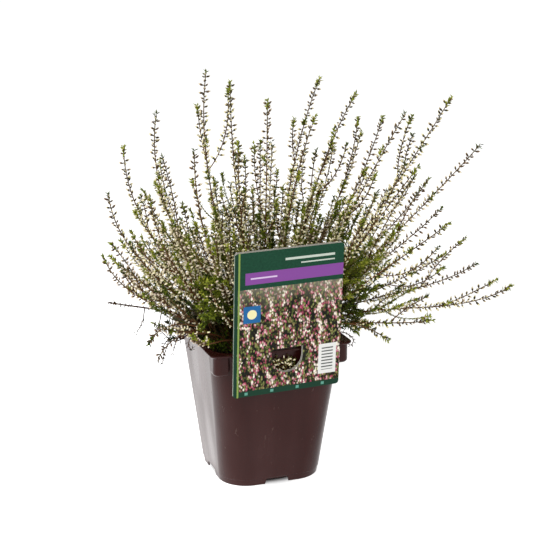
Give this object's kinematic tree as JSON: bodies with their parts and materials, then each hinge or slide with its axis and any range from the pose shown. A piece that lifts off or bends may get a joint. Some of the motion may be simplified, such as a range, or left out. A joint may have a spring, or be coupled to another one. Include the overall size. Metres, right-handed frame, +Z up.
{
  "type": "potted heather",
  "caption": "Square tapered nursery pot of soil holding a bushy heather with slender budded stems that fan out over the rim, and a folded card hooked on the front.",
  "frame": {"origin": "middle of the whole object's box, on the surface that the pot's feet stand on", "axes": "+Z up; X along the pot's front wall, which carries the card and faces -Y"},
  "size_m": [0.299, 0.2052, 0.307],
  "materials": {
    "pot_plastic": "satin",
    "peat_soil": "matte",
    "printed_card": "gloss",
    "heather_foliage": "matte",
    "heather_wood": "matte"
  },
  "bodies": {
    "root": {"pot": "pot_plastic", "soil": "peat_soil", "label_card": "printed_card", "dry_twig": "heather_wood", "heather_stem_01": "heather_foliage", "heather_stem_02": "heather_foliage", "heather_stem_03": "heather_foliage", "heather_stem_04": "heather_foliage", "heather_stem_05": "heather_foliage", "heather_stem_06": "heather_foliage", "heather_stem_07": "heather_foliage", "heather_stem_08": "heather_foliage", "heather_stem_09": "heather_foliage", "heather_stem_10": "heather_foliage", "heather_stem_11": "heather_foliage", "heather_stem_12": "heather_foliage", "heather_stem_13": "heather_foliage", "heather_stem_14": "heather_foliage", "heather_stem_15": "heather_foliage", "heather_stem_16": "heather_foliage", "heather_stem_17": "heather_foliage", "heather_stem_18": "heather_foliage", "heather_stem_19": "heather_foliage", "heather_stem_20": "heather_foliage", "heather_stem_21": "heather_foliage", "heather_stem_22": "heather_foliage", "heather_stem_23": "heather_foliage", "heather_stem_24": "heather_foliage", "heather_stem_25": "heather_foliage", "heather_stem_26": "heather_foliage", "heather_stem_27": "heather_foliage", "heather_stem_28": "heather_foliage", "heather_stem_29": "heather_foliage", "heather_stem_30": "heather_foliage", "heather_stem_31": "heather_foliage", "heather_stem_32": "heather_foliage", "heather_stem_33": "heather_foliage", "heather_stem_34": "heather_foliage", "heather_stem_35": "heather_foliage", "heather_stem_36": "heather_foliage", "heather_stem_37": "heather_foliage", "heather_stem_38": "heather_foliage", "heather_stem_39": "heather_foliage", "heather_stem_40": "heather_foliage", "heather_stem_41": "heather_foliage", "heather_stem_42": "heather_foliage", "heather_stem_43": "heather_foliage", "heather_stem_44": "heather_foliage", "heather_stem_45": "heather_foliage", "heather_stem_46": "heather_foliage", "heather_stem_47": "heather_foliage", "heather_stem_48": "heather_foliage", "heather_stem_49": "heather_foliage", "heather_stem_50": "heather_foliage"}
  },
  "joints": []
}
